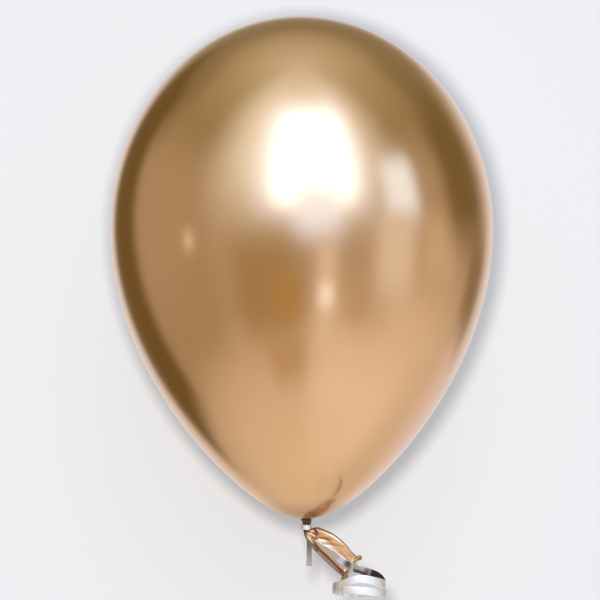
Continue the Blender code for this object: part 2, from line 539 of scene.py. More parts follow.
@dataclass(frozen=True)
class ChromeLatex:
    """Tight metallic latex, whose pigment is closer packed where the skin is less stretched."""

    effects: SharedEffects
    stretched: Colour = (0.72, 0.445, 0.205)
    unstretched: Colour = (0.40, 0.21, 0.065)
    crown: Colour = (0.66, 0.385, 0.155)
    roughness: float = 0.17
    coat: float = 0.10
    coat_roughness: float = 0.14
    crown_z: float = 0.3735
    crown_reach: float = 2.2 * MM  # below the crown, where the thicker spot starts
    neck_end: float = 5.0 * MM
    neck_start: float = 26.0 * MM
    slack_roughness: float = 0.12  # added where the skin isn't stretched
    cloud_size: float = 38.0
    grain_size: float = 1500.0
    grain_depth: float = 0.05 * MM
    speck_size: float = 700.0
    speck_roughness: float = 0.12
    uneven: float = 0.93  # brightness of the skin's darker clouds

    def material(self) -> bpy.types.Material:
        """Build the finish.

        Returns:
            The material.
        """
        made, graph, shader = start_material("chrome_latex")
        place = graph.place()
        split = graph.add("ShaderNodeSeparateXYZ")
        graph.feed(split.inputs[0], place)
        height = split.outputs[2]
        slack = graph.scaled(height, self.neck_end, self.neck_start, 1.0, 0.0)
        colour = graph.mix(slack, self.stretched, self.unstretched)
        top = graph.scaled(height, self.crown_z - self.crown_reach, self.crown_z - 0.4 * MM, 0.0, 0.8)
        colour = graph.mix(top, colour, self.crown)
        mottle = self.effects.mottle
        cloud = graph.group(mottle, Place=place, Size=self.cloud_size, Contrast=0.7).outputs["Value"]
        fine = graph.group(mottle, Place=place, Size=self.grain_size, Contrast=0.9).outputs["Value"]
        tint = graph.math("ADD", graph.math("MULTIPLY", cloud, 0.6), graph.math("MULTIPLY", fine, 0.4))
        darker = tuple(self.uneven * part for part in self.stretched)
        shade = graph.mix(graph.scaled(tint, 0.3, 0.7, 0.0, 0.35), colour, darker)
        graph.feed(shader.inputs["Base Color"], shade)
        graph.feed(shader.inputs["Metallic"], 1.0)
        dust = graph.group(self.effects.dust, Place=place, Size=self.speck_size, Amount=0.03)
        rough = graph.scaled(tint, 0.3, 0.7, self.roughness - 0.015, self.roughness + 0.02)
        for mask, added in ((dust.outputs["Mask"], self.speck_roughness), (slack, self.slack_roughness)):
            rough = graph.math("ADD", rough, graph.math("MULTIPLY", mask, added))
        graph.feed(shader.inputs["Roughness"], rough)
        shader.inputs["Coat Weight"].default_value = self.coat
        shader.inputs["Coat Roughness"].default_value = self.coat_roughness
        graph.emboss(shader, fine, self.grain_depth, strength=0.04)
        return made


@dataclass(frozen=True)
class SlackLatex:
    """Unstretched metallic latex: deeper in colour, satin and finely creased, with painted shade in its
    wrinkles and folds.
    """

    effects: SharedEffects
    name: str
    # lit and deep: the skin lit and in painted shade in its wrinkles; folded: the painted shade of its
    # folds
    lit: Colour
    deep: Colour
    folded: Colour
    metallic: float
    roughness: float
    coat: float
    crease_size: float
    crease_depth: float
    coat_roughness: float = 0.25
    cloud_size: float = 160.0
    speck_size: float = 1400.0
    speck_roughness: float = 0.2

    def material(self) -> bpy.types.Material:
        """Build the finish.

        Returns:
            The material.
        """
        made, graph, shader = start_material(self.name)
        place = graph.place()
        mottle = graph.group(self.effects.mottle, Place=place, Size=self.cloud_size, Contrast=1.6)
        cloud = mottle.outputs["Value"]
        wrinkles = graph.group(self.effects.creases, Place=place, Size=self.crease_size, Bend=1.4)
        crease = wrinkles.outputs["Height"]
        # Painted shade: the wrinkles' valleys darken from lit to deep, and the fold attribute darkens the
        # skin towards the folded colour.
        shade = graph.math("MULTIPLY", crease, graph.scaled(cloud, 0.1, 0.7, 0.4, 1.0))
        folded = graph.add("ShaderNodeAttribute", attribute_name="fold").outputs["Fac"]
        colour = graph.mix(folded, graph.mix(shade, self.deep, self.lit), self.folded)
        graph.feed(shader.inputs["Base Color"], colour)
        graph.feed(shader.inputs["Metallic"], self.metallic)
        rough = graph.scaled(cloud, 0.2, 0.8, self.roughness - 0.05, self.roughness + 0.07)
        dust = graph.group(self.effects.dust, Place=place, Size=self.speck_size, Amount=0.06)
        specks = graph.math("MULTIPLY", dust.outputs["Mask"], self.speck_roughness)
        graph.feed(shader.inputs["Roughness"], graph.math("ADD", rough, specks))
        shader.inputs["Coat Weight"].default_value = self.coat
        shader.inputs["Coat Roughness"].default_value = self.coat_roughness
        graph.emboss(shader, crease, self.crease_depth, strength=0.35)
        return made


@dataclass(frozen=True)
class MetallisedRibbon:
    """Mirror-coated plastic ribbon with fine lines drawn along it, and painted shade and dark reflection
    where its strip marks them.
    """

    effects: SharedEffects
    name: str
    colour: Colour
    worn: Colour
    metallic: float
    roughness: float
    # colour of the painted shade and dark reflection, where the strip's attribute marks it
    painted_shade: Colour
    lines: float = 9.0
    line_depth: float = 0.02 * MM
    cloud_size: float = 120.0
    worn_roughness: float = 0.1  # added where it is worn

    def material(self) -> bpy.types.Material:
        """Build the finish.

        Returns:
            The material.
        """
        made, graph, shader = start_material(self.name)
        surface = graph.add("ShaderNodeUVMap", uv_map="surface")
        split = graph.add("ShaderNodeSeparateXYZ")
        graph.feed(split.inputs[0], surface.outputs[0])
        along = graph.math("MULTIPLY", split.outputs[1], 40.0)
        lines = graph.group(self.effects.drawn, Across=split.outputs[0], Along=along, Lines=self.lines)
        place = graph.place()
        mottle = graph.group(self.effects.mottle, Place=place, Size=self.cloud_size, Contrast=1.0)
        cloud = mottle.outputs["Value"]
        wear = graph.scaled(lines.outputs["Streak"], 0.45, 0.8, 0.0, 0.5)
        # Painted shade and dark reflection, where the strip's attribute marks it
        shade_mask = graph.add("ShaderNodeAttribute", attribute_name="painted_shade").outputs["Fac"]
        shade = graph.mix(shade_mask, graph.mix(wear, self.colour, self.worn), self.painted_shade)
        graph.feed(shader.inputs["Base Color"], shade)
        graph.feed(shader.inputs["Metallic"], self.metallic)
        rough = graph.scaled(cloud, 0.3, 0.7, self.roughness - 0.03, self.roughness + 0.03)
        worn = graph.math("MULTIPLY", wear, self.worn_roughness)
        graph.feed(shader.inputs["Roughness"], graph.math("ADD", rough, worn))
        graph.emboss(shader, lines.outputs["Height"], self.line_depth, strength=0.3)
        return made


@dataclass
class Finishes:
    """Every material of the object, built once."""

    stretched: bpy.types.Material
    slack: bpy.types.Material
    rolled: bpy.types.Material
    silver: bpy.types.Material
    silver_reverse: bpy.types.Material

    @classmethod
    def build(cls) -> "Finishes":
        """Build the materials on one set of shared effects.

        Returns:
            The finishes.
        """
        shared = SharedEffects.build()
        # lit, deep and folded: the skin lit, its painted shade in wrinkles and its painted shade in folds
        slack = SlackLatex(
            effects=shared,
            name="slack_latex",
            lit=(0.90, 0.62, 0.42),
            deep=(0.78, 0.46, 0.22),
            folded=(0.055, 0.024, 0.006),
            metallic=0.90,
            roughness=0.36,
            coat=0.10,
            crease_size=420.0,
            crease_depth=0.10 * MM,
        )
        rolled = SlackLatex(
            effects=shared,
            name="rolled_latex",
            lit=(0.42, 0.29, 0.09),
            deep=(0.20, 0.12, 0.03),
            folded=(0.10, 0.06, 0.02),
            metallic=0.88,
            roughness=0.30,
            coat=0.15,
            crease_size=700.0,
            crease_depth=0.14 * MM,
        )
        face = MetallisedRibbon(
            effects=shared,
            name="silver_ribbon",
            colour=(0.80, 0.76, 0.65),
            worn=(0.73, 0.70, 0.63),
            metallic=0.96,
            roughness=0.44,
            painted_shade=(0.73, 0.70, 0.63),
        )
        reverse = MetallisedRibbon(
            effects=shared,
            name="silver_reverse",
            colour=(0.84, 0.79, 0.71),
            worn=(0.74, 0.69, 0.62),
            metallic=1.0,
            roughness=0.16,
            # nearly black: the painted shade and dark reflection on the ribbon's reverse
            painted_shade=(0.030, 0.026, 0.034),
        )
        return cls(
            ChromeLatex(shared).material(),
            slack.material(),
            rolled.material(),
            face.material(),
            reverse.material(),
        )


# ---------------------------------------------------------------- the latex


@dataclass
class Envelope:
    """The stretched skin: a pear turned about Z, puckered where it runs into the throat."""

    finish: bpy.types.Material
    widest_z: float = 218.0 * MM
    shoulder_handle_z: float = 100.0 * MM
    bottom_handle: Vector = Vector((32.5 * MM, 0.0, 5.0 * MM))
    bottom: Vector = Vector((6.6 * MM, 0.0, 6.6 * MM))
    lip: Vector = Vector((4.9 * MM, 0.0, 6.1 * MM))  # the turn between bottom and throat
    throat: Vector = Vector((4.0 * MM, 0.0, 5.2 * MM))
    wall: float = 0.3 * MM
    segments: int = 192
    lower_steps: int = 70
    crowding: float = 1.25  # above 1, the lower steps are closer near the throat
    crown_steps: int = 44
    pucker_depth: float = 0.5 * MM
    pucker_reach: float = 15.0 * MM

    def outline(self) -> list[Vector]:
        """Points of the outer outline in the XZ plane, from the throat to the crown.

        Returns:
            The outline's points.
        """
        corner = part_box("envelope")[1]
        radius, crown_z = corner.x, corner.z
        widest = Vector((radius, 0.0, self.widest_z))
        shoulder = Vector((radius, 0.0, self.shoulder_handle_z))
        corners = (self.bottom, self.bottom_handle, shoulder, widest)
        points = [self.throat, self.lip]
        for step in range(self.lower_steps):
            points.append(bezier(corners, (step / self.lower_steps) ** self.crowding))
        for step in range(self.crown_steps + 1):
            turn = math.pi / 2 * step / self.crown_steps
            high = self.widest_z + (crown_z - self.widest_z) * math.sin(turn)
            across = radius * math.cos(turn) if step < self.crown_steps else 0.0
            points.append(Vector((across, 0.0, high)))
        return points

    def pucker(self, spot: Vector) -> Vector:
        """Offset of the skin where it is drawn into the throat.

        Args:
            spot: a point of the smooth skin.

        Returns:
            How far to move it.
        """
        across = math.hypot(spot.x, spot.y)
        turn = math.atan2(spot.y, spot.x)
        near = hump(4.5 * MM, self.pucker_reach * 0.45, across) * (1.0 - smooth(0.02, 0.05, spot.z))
        ridges = math.sin(11 * turn + 0.6) + 0.7 * math.sin(17 * turn + 2.1) + 0.5 * math.sin(6 * turn)
        fan = math.sin(23 * turn + 1.3) * hump(9.0 * MM, self.pucker_reach, across) * 0.06
        depth = self.pucker_depth * (0.33 * near * ridges + fan * near)
        if across < SEAM:
            return Vector()
        return Vector((0.25 * spot.x / across, 0.25 * spot.y / across, -0.9)) * depth

    def build(self) -> bpy.types.Object:
        """Model the skin and hang it on the frame.

        Returns:
            The skin.
        """
        bm = bmesh.new()
        points = [bm.verts.new(point) for point in self.outline()]
        edges = [bm.edges.new(pair) for pair in zip(points, points[1:])]
        bmesh.ops.spin(
            bm,
            geom=points + edges,
            axis=(0, 0, 1),
            cent=(0, 0, 0),
            angle=math.tau,
            steps=self.segments,
            use_merge=True,
        )
        bmesh.ops.remove_doubles(bm, verts=bm.verts, dist=SEAM)
        bmesh.ops.recalc_face_normals(bm, faces=bm.faces)
        for vert in bm.verts:
            if vert.co.z < self.pucker_reach * 3:
                vert.co += self.pucker(vert.co)
        skin = finished("envelope_skin", bm, [self.finish])
        thicken(skin, self.wall)
        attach(skin, Body.BALLOON.value)
        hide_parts("envelope")
        return skin


@dataclass
class NeckGather:
    """The neck drawn into pleats between the throat and the ribbon."""

    finish: bpy.types.Material
    top: float = 7.2 * MM
    foot: float = -2.4 * MM
    throat_radius: float = 4.4 * MM
    tied_radius: float = 2.5 * MM
    pleats: int = 9
    pleat_depth: float = 0.5 * MM
    twist: float = 0.9
    columns: int = 144
    rows: int = 40

    def skin(self, turn: float, drop: float) -> Vector:
        """Point of the pleated funnel.

        Args:
            turn: share round the neck, from 0 to 1.
            drop: share of the way down from the throat.

        Returns:
            The point.
        """
        z = self.top + (self.foot - self.top) * drop
        angle = math.tau * turn + self.twist * drop
        narrow = smooth(0.02, 0.55, drop)
        radius = self.throat_radius + (self.tied_radius - self.throat_radius) * narrow
        pleat = math.sin(self.pleats * angle) + 0.6 * math.sin((self.pleats - 4) * angle + 1.7)
        depth = self.pleat_depth * hump(0.42, 0.30, drop)
        wobble = 0.25 * MM * noise.noise(Vector((3 * math.cos(angle), 3 * math.sin(angle), z / MM / 2)))
        radius += depth * 0.6 * pleat + wobble
        return Vector((radius * math.cos(angle), radius * math.sin(angle), z))

    def fold_shade(self, turn: float, drop: float) -> float:
        """Painted shade over the whole neck, darkest in its pleats."""
        angle = math.tau * turn + self.twist * drop
        return 0.93 + 0.07 * math.sin(self.pleats * angle) * smooth(0.0, 0.3, drop)

    def build(self) -> bpy.types.Object:
        """Model the gathered neck and hang it on the frame.

        Returns:
            The neck.
        """
        bm = mapped_grid(self.columns, self.rows, self.skin, closed=True, fold=self.fold_shade)
        close_ends(bm)
        neck = finished("neck_pleats", bm, [self.finish])
        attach(neck, Body.BALLOON.value)
        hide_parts("neck_gather")
        return neck


@dataclass
class SlackTail:
    """The slack, flattened neck below the tie, lofted across its two folded edges.

    Each rung crosses the tail from its lower folded edge to its upper one and has a half depth.
    """

    finish: bpy.types.Material
    rim_finish: bpy.types.Material
    rungs: tuple[tuple[float, float, float, float, float], ...] = (
        (2.2, -1.2, -2.2, -1.2, 2.2),
        (2.7, -2.9, -2.3, -3.2, 2.3),
        (4.5, -1.5, -1.6, -6.3, 2.5),
        (7.6, -0.4, 0.2, -9.8, 2.7),
        (12.3, -1.9, 3.3, -14.6, 2.7),
        (20.2, -5.9, 9.2, -20.9, 2.4),
        (27.3, -12.0, 16.0, -27.8, 2.1),
        (33.2, -19.2, 22.3, -33.7, 1.9),
        (36.8, -22.7, 25.5, -36.7, 1.8),
    )  # upper x and z, lower x and z, half depth, in millimetres
    columns: int = 128
    rows: int = 110
    wall: float = 0.4 * MM
    bead: float = 1.15 * MM
    bead_flare: float = 1.05
    bead_columns: int = 160
    bead_rows: int = 28
    bend_start: Vector = Vector((-0.6 * MM, 0.0, -2.2 * MM))
    bend_end: Vector = Vector((5.0 * MM, 0.0, -9.2 * MM))

    def rung(self, along: float) -> tuple[Vector, Vector, float]:
        """Centre, half-width vector and half depth of the section at a share of the length.

        Args:
            along: share of the tail's length from the tie.

        Returns:
            The section's centre, its half width as a vector and its half depth.
        """
        upper = catmull([Vector((row[0], 0.0, row[1])) * MM for row in self.rungs], along)
        lower = catmull([Vector((row[2], 0.0, row[3])) * MM for row in self.rungs], along)
        depth = catmull([Vector((row[4], 0.0, 0.0)) * MM for row in self.rungs], along).x
        return (upper + lower) / 2, (upper - lower) / 2, depth

    def spoon(self, across: float, along: float) -> float:
        """Distance that the tail's folded edges lie in front of its middle.

        Args:
            across: place across the tail, from -1 at its lower edge to 1 at its upper edge.
            along: share of the tail's length from the tie.

        Returns:
            The distance.
        """
        lower = 3.4 * smooth(0.45, 1.0, -across) * smooth(0.10, 0.35, along)
        upper = 1.6 * smooth(0.55, 1.0, across) * smooth(0.25, 0.5, along)
        return (lower + upper) * (1.0 - 0.75 * smooth(0.85, 1.0, along)) * MM

    def relief(self, across: float, along: float) -> float:
        """Depth that the front wall stands out, from -1 at the lower edge to 1 at the upper.

        Args:
            across: place across the tail, from -1 at its lower edge to 1 at its upper edge.
            along: share of the tail's length from the tie.

        Returns:
            The depth, negative where the wall sinks in.
        """
        lap = 3.0 * (1 - smooth(0.44, 0.51, along + 0.10 * across)) * smooth(0.08, 0.2, along)
        lap *= 1 - smooth(0.05, 0.30, across)
        flap = 1.6 * hump(0.66, 0.24, across) * smooth(0.12, 0.3, along) * (1 - smooth(0.5, 0.9, along))
        crease = -1.2 * self.crease(across, along) - 0.6 * self.inner_fold(across, along)
        crease -= 0.3 * self.outer_fold(across, along)
        hollow = -1.3 * hump(0.05, 0.42, across) * smooth(0.40, 0.7, along)
        return (lap + flap + crease + hollow) * MM

    def back_relief(self, across: float, along: float) -> float:
        """Depth that the back wall stands out.

        Args:
            across: place across the tail, from -1 at its lower edge to 1 at its upper edge.
            along: share of the tail's length from the tie.

        Returns:
            The depth, negative where the wall sinks in.
        """
        open_share = smooth(0.2, 0.5, along)
        folds = 0.55 * math.sin(7.0 * across + 2.0 * along) + 0.3 * math.sin(13.0 * across + 0.7)
        hollow = -0.8 * hump(-0.2, 0.45, across) * smooth(0.4, 0.8, along)
        return (folds * (1.0 - 0.6 * smooth(0.5, 1.0, along)) + hollow) * open_share * MM

    def pleat(self, turn: float, along: float) -> float:
        """Height of the bunched pleats that fan out from the tie.

        Args:
            turn: share round the section, from 0 to 1.
            along: share of the tail's length from the tie.

        Returns:
            The height.
        """
        angle = math.tau * turn
        near = 1.0 - smooth(0.12, 0.75, along)
        wave = math.sin(9 * angle + 4 * along) + 0.6 * math.sin(14 * angle - 3 * along + 0.8)
        fine = noise.noise(Vector((4 * math.cos(angle), 4 * math.sin(angle), 9 * along)))
        return (0.28 * near * wave + 0.35 * fine * (0.35 + 0.65 * near)) * MM

    def skin(self, turn: float, along: float) -> Vector:
        """Point of the tail's outer surface.

        Args:
            turn: share round the section, from 0 to 1.
            along: share of the tail's length from the tie.

        Returns:
            The point.
        """
        centre, half, depth = self.rung(along)
        angle = math.tau * turn
        across = math.cos(angle)
        deep = math.copysign(abs(math.sin(angle)) ** 0.8, math.sin(angle))
        fold = self.relief(across, along) if deep < 0 else self.back_relief(across, along)
        edge = min(1.0, abs(math.sin(angle)) * 2.4)
        flat_in = 1.0 - smooth(0.93, 1.0, along)
        stand = depth * abs(deep) + fold * edge * (0.35 + 0.65 * flat_in) + self.pleat(turn, along) * edge
        spot = centre + half * across
        deep_part = math.copysign(max(stand, 0.25 * MM), deep) - self.spoon(across, along)
        return spot + Vector((0.0, deep_part, 0.0))

    def fold_shade(self, turn: float, along: float) -> float:
        """Painted shade of the skin: dark at its folded edges, creases and pocket and near the tie, none
        where it is spread.

        Args:
            turn: share round the section, from 0 to 1.
            along: share of the tail's length from the tie.

        Returns:
            0 for no painted shade, 1 for the darkest.
        """
        across = math.cos(math.tau * turn)
        # All painted shade: along the lower and upper folded edges, near the tie, in the pocket, crease
        # and folds, and lightly over the half near the tie; lit_streak is a painted highlight that
        # lightens the lower edge.
        inside = -0.28 - 0.24 * smooth(0.45, 0.62, along) - across
        lit_streak = hump(-0.60, 0.13, across) * hump(0.38, 0.07, along)
        lower = smooth(0.0, 0.12, inside) * (0.78 + 0.14 * hump(0.10, 0.12, inside))
        lower *= 1.0 - 0.7 * lit_streak
        upper = 0.8 * smooth(0.84, 0.95, across)
        root = 0.65 * (1.0 - smooth(0.18, 0.34, along)) * (1.0 - 0.8 * lit_streak)
        pocket = 0.95 * hump(-0.24, 0.16, across) * hump(0.44, 0.06, along)
        crease = 0.95 * self.crease(across, along)
        folds = max(0.72 * self.inner_fold(across, along), 0.30 * self.outer_fold(across, along))
        tan = 0.22 * (1.0 - smooth(0.50, 0.66, along))
        return min(1.0, max(lower, upper, root, pocket, crease, folds, tan))

    @staticmethod
    def crease(across: float, along: float) -> float:
        """The sharp crease that runs from the tie's side of the upper edge into the tail, 0 to 1."""
        line = 1.0 - 3.7 * (along - 0.27)
        return hump(line, 0.17, across) * smooth(0.22, 0.28, along) * (1.0 - smooth(0.46, 0.53, along))

    @staticmethod
    def inner_fold(across: float, along: float) -> float:
        """The deep fold beside the ribbon's start, 0 to 1."""
        line = 4.0 * (along - 0.50)
        return hump(line, 0.15, across) * smooth(0.46, 0.50, along) * (1.0 - smooth(0.58, 0.68, along))

    @staticmethod
    def outer_fold(across: float, along: float) -> float:
        """The shallow fold that bends from the ribbon towards the upper edge, 0 to 1."""
        line = 5.2 * (along - 0.593) - 0.12
        return hump(line, 0.13, across) * smooth(0.57, 0.61, along) * (1.0 - smooth(0.72, 0.80, along))

    def mouth_direction(self) -> Vector:
        """Direction in which the tail's mouth opens."""
        along = self.rung(1.0)[1].normalized().cross(Vector((0.0, 1.0, 0.0))).normalized()
        return along * math.copysign(1.0, along.x)

    def bead_point(self, turn: float, around: float) -> Vector:
        """Point of the rolled bead, a tube bent round the flattened mouth.

        Args:
            turn: share of the way round the mouth.
            around: share of the way round the tube.

        Returns:
            The point.
        """
        forward = self.mouth_direction()
        centre, half, depth = self.rung(1.0)
        angle, roll = math.tau * turn, math.tau * around
        side = abs(math.cos(angle)) ** 6
        lobe = max(0.0, -math.cos(angle)) ** 4
        ring = half * math.cos(angle) * self.bead_flare
        ring += Vector((0.0, depth * math.sin(angle) * 1.05, 0.0))
        sway = 0.35 * math.sin(3 * angle + 0.5) + 0.25 * math.sin(5 * angle + 2.0)
        middle = centre + ring + forward * (0.9 + sway + 0.5 * side + 1.6 * lobe) * MM
        out = (half.normalized() * math.cos(angle) + Vector((0.0, math.sin(angle), 0.0))).normalized()
        thick = self.bead * (1.08 + 0.45 * side + 0.6 * lobe + 0.07 * math.sin(4 * angle + 1.0))
        thick += 0.07 * MM * math.cos(5 * roll + 9 * angle)
        place = Vector((6 * math.cos(angle), 6 * math.sin(angle), 2 * math.cos(roll)))
        thick += 0.12 * MM * noise.noise(place)
        return middle + (out * math.cos(roll) + forward * math.sin(roll)) * thick

    def build(self) -> None:
        """Model the tail and its rim, and hang the rim on the frame."""
        bm = mapped_grid(self.columns, self.rows, self.skin, closed=True, fold=self.fold_shade)
        every_axis = {"use_axis_x": True, "use_axis_y": True, "use_axis_z": True}
        bmesh.ops.smooth_vert(bm, verts=bm.verts, factor=0.3, **every_axis)
        tail = finished("slack_tail", bm, [self.finish])
        thicken(tail, self.wall)
        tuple(self.bend_start)
        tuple(self.bend_end)
        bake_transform(tail)
        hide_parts("neck_tail")
        bm = mapped_grid(self.bead_columns, self.bead_rows, self.bead_point, closed=True)
        rim = finished("rolled_bead", bm, [self.rim_finish])
        weld(rim)
        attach(rim, Body.TAIL.value)
        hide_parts("rolled_rim")


def weld(piece: bpy.types.Object) -> None:
    """Merge the seams of a tube that closes on itself and point its faces outwards.

    Args:
        piece: the tube.
    """
    bm = bmesh.new()
    bm.from_mesh(piece.data)
    bmesh.ops.remove_doubles(bm, verts=bm.verts, dist=SEAM)
    bmesh.ops.recalc_face_normals(bm, faces=bm.faces)
    bm.to_mesh(piece.data)
    bm.free()
    piece.data.shade_smooth()


# ---------------------------------------------------------------- the ribbon


@dataclass
class Strip:
    """A flat ribbon swept along a line, with its own face and reverse."""

    line: list[Vector]
    broad: list[Vector]  # direction across the ribbon at each point of the line
    width: float = 6.0 * MM
    thickness: float = 0.14 * MM
    cup: float = 0.04 * MM  # how far its edges turn towards its face
    painted_shade: Shade | None = None  # painted shade and dark reflection, from the share across it and the distance along it
    gather: float = 0.0  # length along which it opens out from its bunched start
    bunched: float = 0.16  # share of its width where it is bunched
    side_faces: int = 8

    def section(self, turn: float) -> tuple[float, float]:
        """Share across the ribbon, -1 to 1, and side, -1 or 1, of a point round the section."""
        share = 1.0 - 4.0 * turn if turn <= 0.5 else 4.0 * turn - 3.0
        return math.sin(share * math.pi / 2), 1.0 if turn <= 0.5 else -1.0

    def surface(self, turn: float, along: float) -> Vector:
        """Point of the swept ribbon.

        Args:
            turn: share round the section: the face up to a half, then the reverse.
            along: share of the line.

        Returns:
            The point.
        """
        spot = along * (len(self.line) - 1)
        index = min(int(spot + 0.5), len(self.line) - 1)
        before, after = max(index - 1, 0), min(index + 1, len(self.line) - 1)
        forward = (self.line[after] - self.line[before]).normalized()
        broad = self.broad[index]
        broad = (broad - forward * broad.dot(forward)).normalized()
        face = forward.cross(broad)
        across, side = self.section(turn)
        rounded = side * self.thickness / 2 * (1.0 - across**8)
        curve = self.cup * (across * across - 0.4)
        half = self.half_width((self.line[index] - self.line[0]).length)
        return self.line[index] + broad * across * half + face * (rounded + curve)

    def half_width(self, distance: float) -> float:
        """Half of the ribbon's width at a distance from its start.

        Args:
            distance: how far from the start.

        Returns:
            Half of the width.
        """
        if distance >= self.gather:
            return self.width / 2
        opened = smooth(0.2, 1.0, distance / self.gather)
        return self.width / 2 * (self.bunched + (1.0 - self.bunched) * opened)

    def mesh(self) -> bmesh.types.BMesh:
        """Sweep the section, close its ends and number the reverse side's faces.

        Returns:
            The swept ribbon.
        """
        bm = bmesh.new()
        layer = bm.loops.layers.uv.new("surface")
        marks = bm.verts.layers.float.new("painted_shade")
        columns = 2 * self.side_faces
        rows = len(self.line) - 1
        bmesh.ops.create_grid(bm, x_segments=columns, y_segments=rows, size=0.5, calc_uvs=True)
        for face in bm.faces:
            turn = face.calc_center_median().x + 0.5
            face.material_index = 0 if turn < 0.5 else 1
            for loop in face.loops:
                share = loop.vert.co.x + 0.5
                loop[layer].uv.x = 2 * share if share <= 0.5 else 2 - 2 * share
        spacing = (self.line[1] - self.line[0]).length
        for vert in bm.verts:
            turn, along = vert.co.x + 0.5, vert.co.y + 0.5
            vert.co = self.surface(turn, along)
            if self.painted_shade:
                vert[marks] = self.painted_shade(self.section(turn)[0], along * rows * spacing)
        bmesh.ops.remove_doubles(bm, verts=bm.verts, dist=SEAM)
        close_ends(bm)
        return bm


@dataclass
class RibbonTie:
    """The turns of ribbon that close the neck, and the overhand knot behind them."""

    finishes: Finishes
    turns: int = 3
    wrap_radius: float = 3.35 * MM
    wrap_top: float = 1.45 * MM
    wrap_bottom: float = -1.65 * MM
    band_half_height: float = 0.86 * MM
    band_half_depth: float = 0.42 * MM
    knot_place: Vector = Vector((0.8 * MM, 5.6 * MM, -0.6 * MM))
    knot_loop: float = 1.25 * MM
    strand_half_width: float = 0.85 * MM
    strand_half_depth: float = 0.34 * MM
    band_faces: tuple[int, int] = (24, 240)  # round the bunched ribbon and along it
    strand_faces: tuple[int, int] = (20, 200)

    def band(self, around: float, along: float) -> Vector:
        """Point of the bunched ribbon that runs round the neck in close turns.

        Args:
            around: share of the way round the bunched ribbon.
            along: share of the way along it.

        Returns:
            The point.
        """
        swing = math.tau * (self.turns * along + 0.2)
        z = self.wrap_top + (self.wrap_bottom - self.wrap_top) * along
        roll = math.tau * around
        crinkle = noise.noise(Vector((math.cos(swing) * 2.2, math.sin(swing) * 2.2, 9 * along)))
        high = self.band_half_height * math.copysign(abs(math.sin(roll)) ** 0.7, math.sin(roll))
        deep = self.band_half_depth * math.cos(roll) * (1.0 + 0.35 * crinkle)
        pinch = 0.10 * MM * math.cos(3 * roll + 2 * swing)
        tilt = 0.12 * MM * math.sin(2 * swing + 1.0)
        radius = self.wrap_radius + deep + pinch * max(0.0, math.cos(roll))
        return Vector((radius * math.cos(swing), radius * math.sin(swing), z + high + tilt))

    def knot_line(self, share: float) -> Vector:
        """Centre line of the overhand knot, a trefoil pulled tight and squashed against the wrap.

        Args:
            share: share of the way along the knot's strand.

        Returns:
            The point.
        """
        angle = math.tau * share
        x = math.sin(angle) + 2.0 * math.sin(2.0 * angle)
        z = math.cos(angle) - 2.0 * math.cos(2.0 * angle)
        deep = -math.sin(3.0 * angle)
        return self.knot_place + Vector((x * 0.46, deep * 0.72, z * 0.46)) * self.knot_loop

    def strand(self, around: float, along: float) -> Vector:
        """Point of the knot's flattened strand.

        Args:
            around: share of the way round the strand.
            along: share of the way along it.

        Returns:
            The point.
        """
        step = 0.004
        spot = self.knot_line(along)
        forward = (self.knot_line(along + step) - self.knot_line(along - step)).normalized()
        out = spot - self.knot_place
        out = (out - forward * out.dot(forward)).normalized()
        side = forward.cross(out)
        roll = math.tau * around
        fold = 1.0 + 0.18 * math.sin(2 * roll + 8 * math.tau * along)
        wide = self.strand_half_width * math.cos(roll) * fold
        thick = self.strand_half_depth * math.sin(roll)
        return spot + side * wide + out * thick

    def build(self) -> None:
        """Model the wrap and the knot and hang them on the frame."""
        bm = mapped_grid(*self.band_faces, self.band, closed=True)
        close_ends(bm)
        wrap = finished("ribbon_turns", bm, [self.finishes.silver])
        bm = mapped_grid(*self.strand_faces, self.strand, closed=True)
        knot = finished("overhand_knot", bm, [self.finishes.silver])
        weld(knot)
        for piece, node in ((wrap, "ribbon_wrap"), (knot, "ribbon_knot")):
            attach(piece, Body.BALLOON.value)
            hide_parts(node)


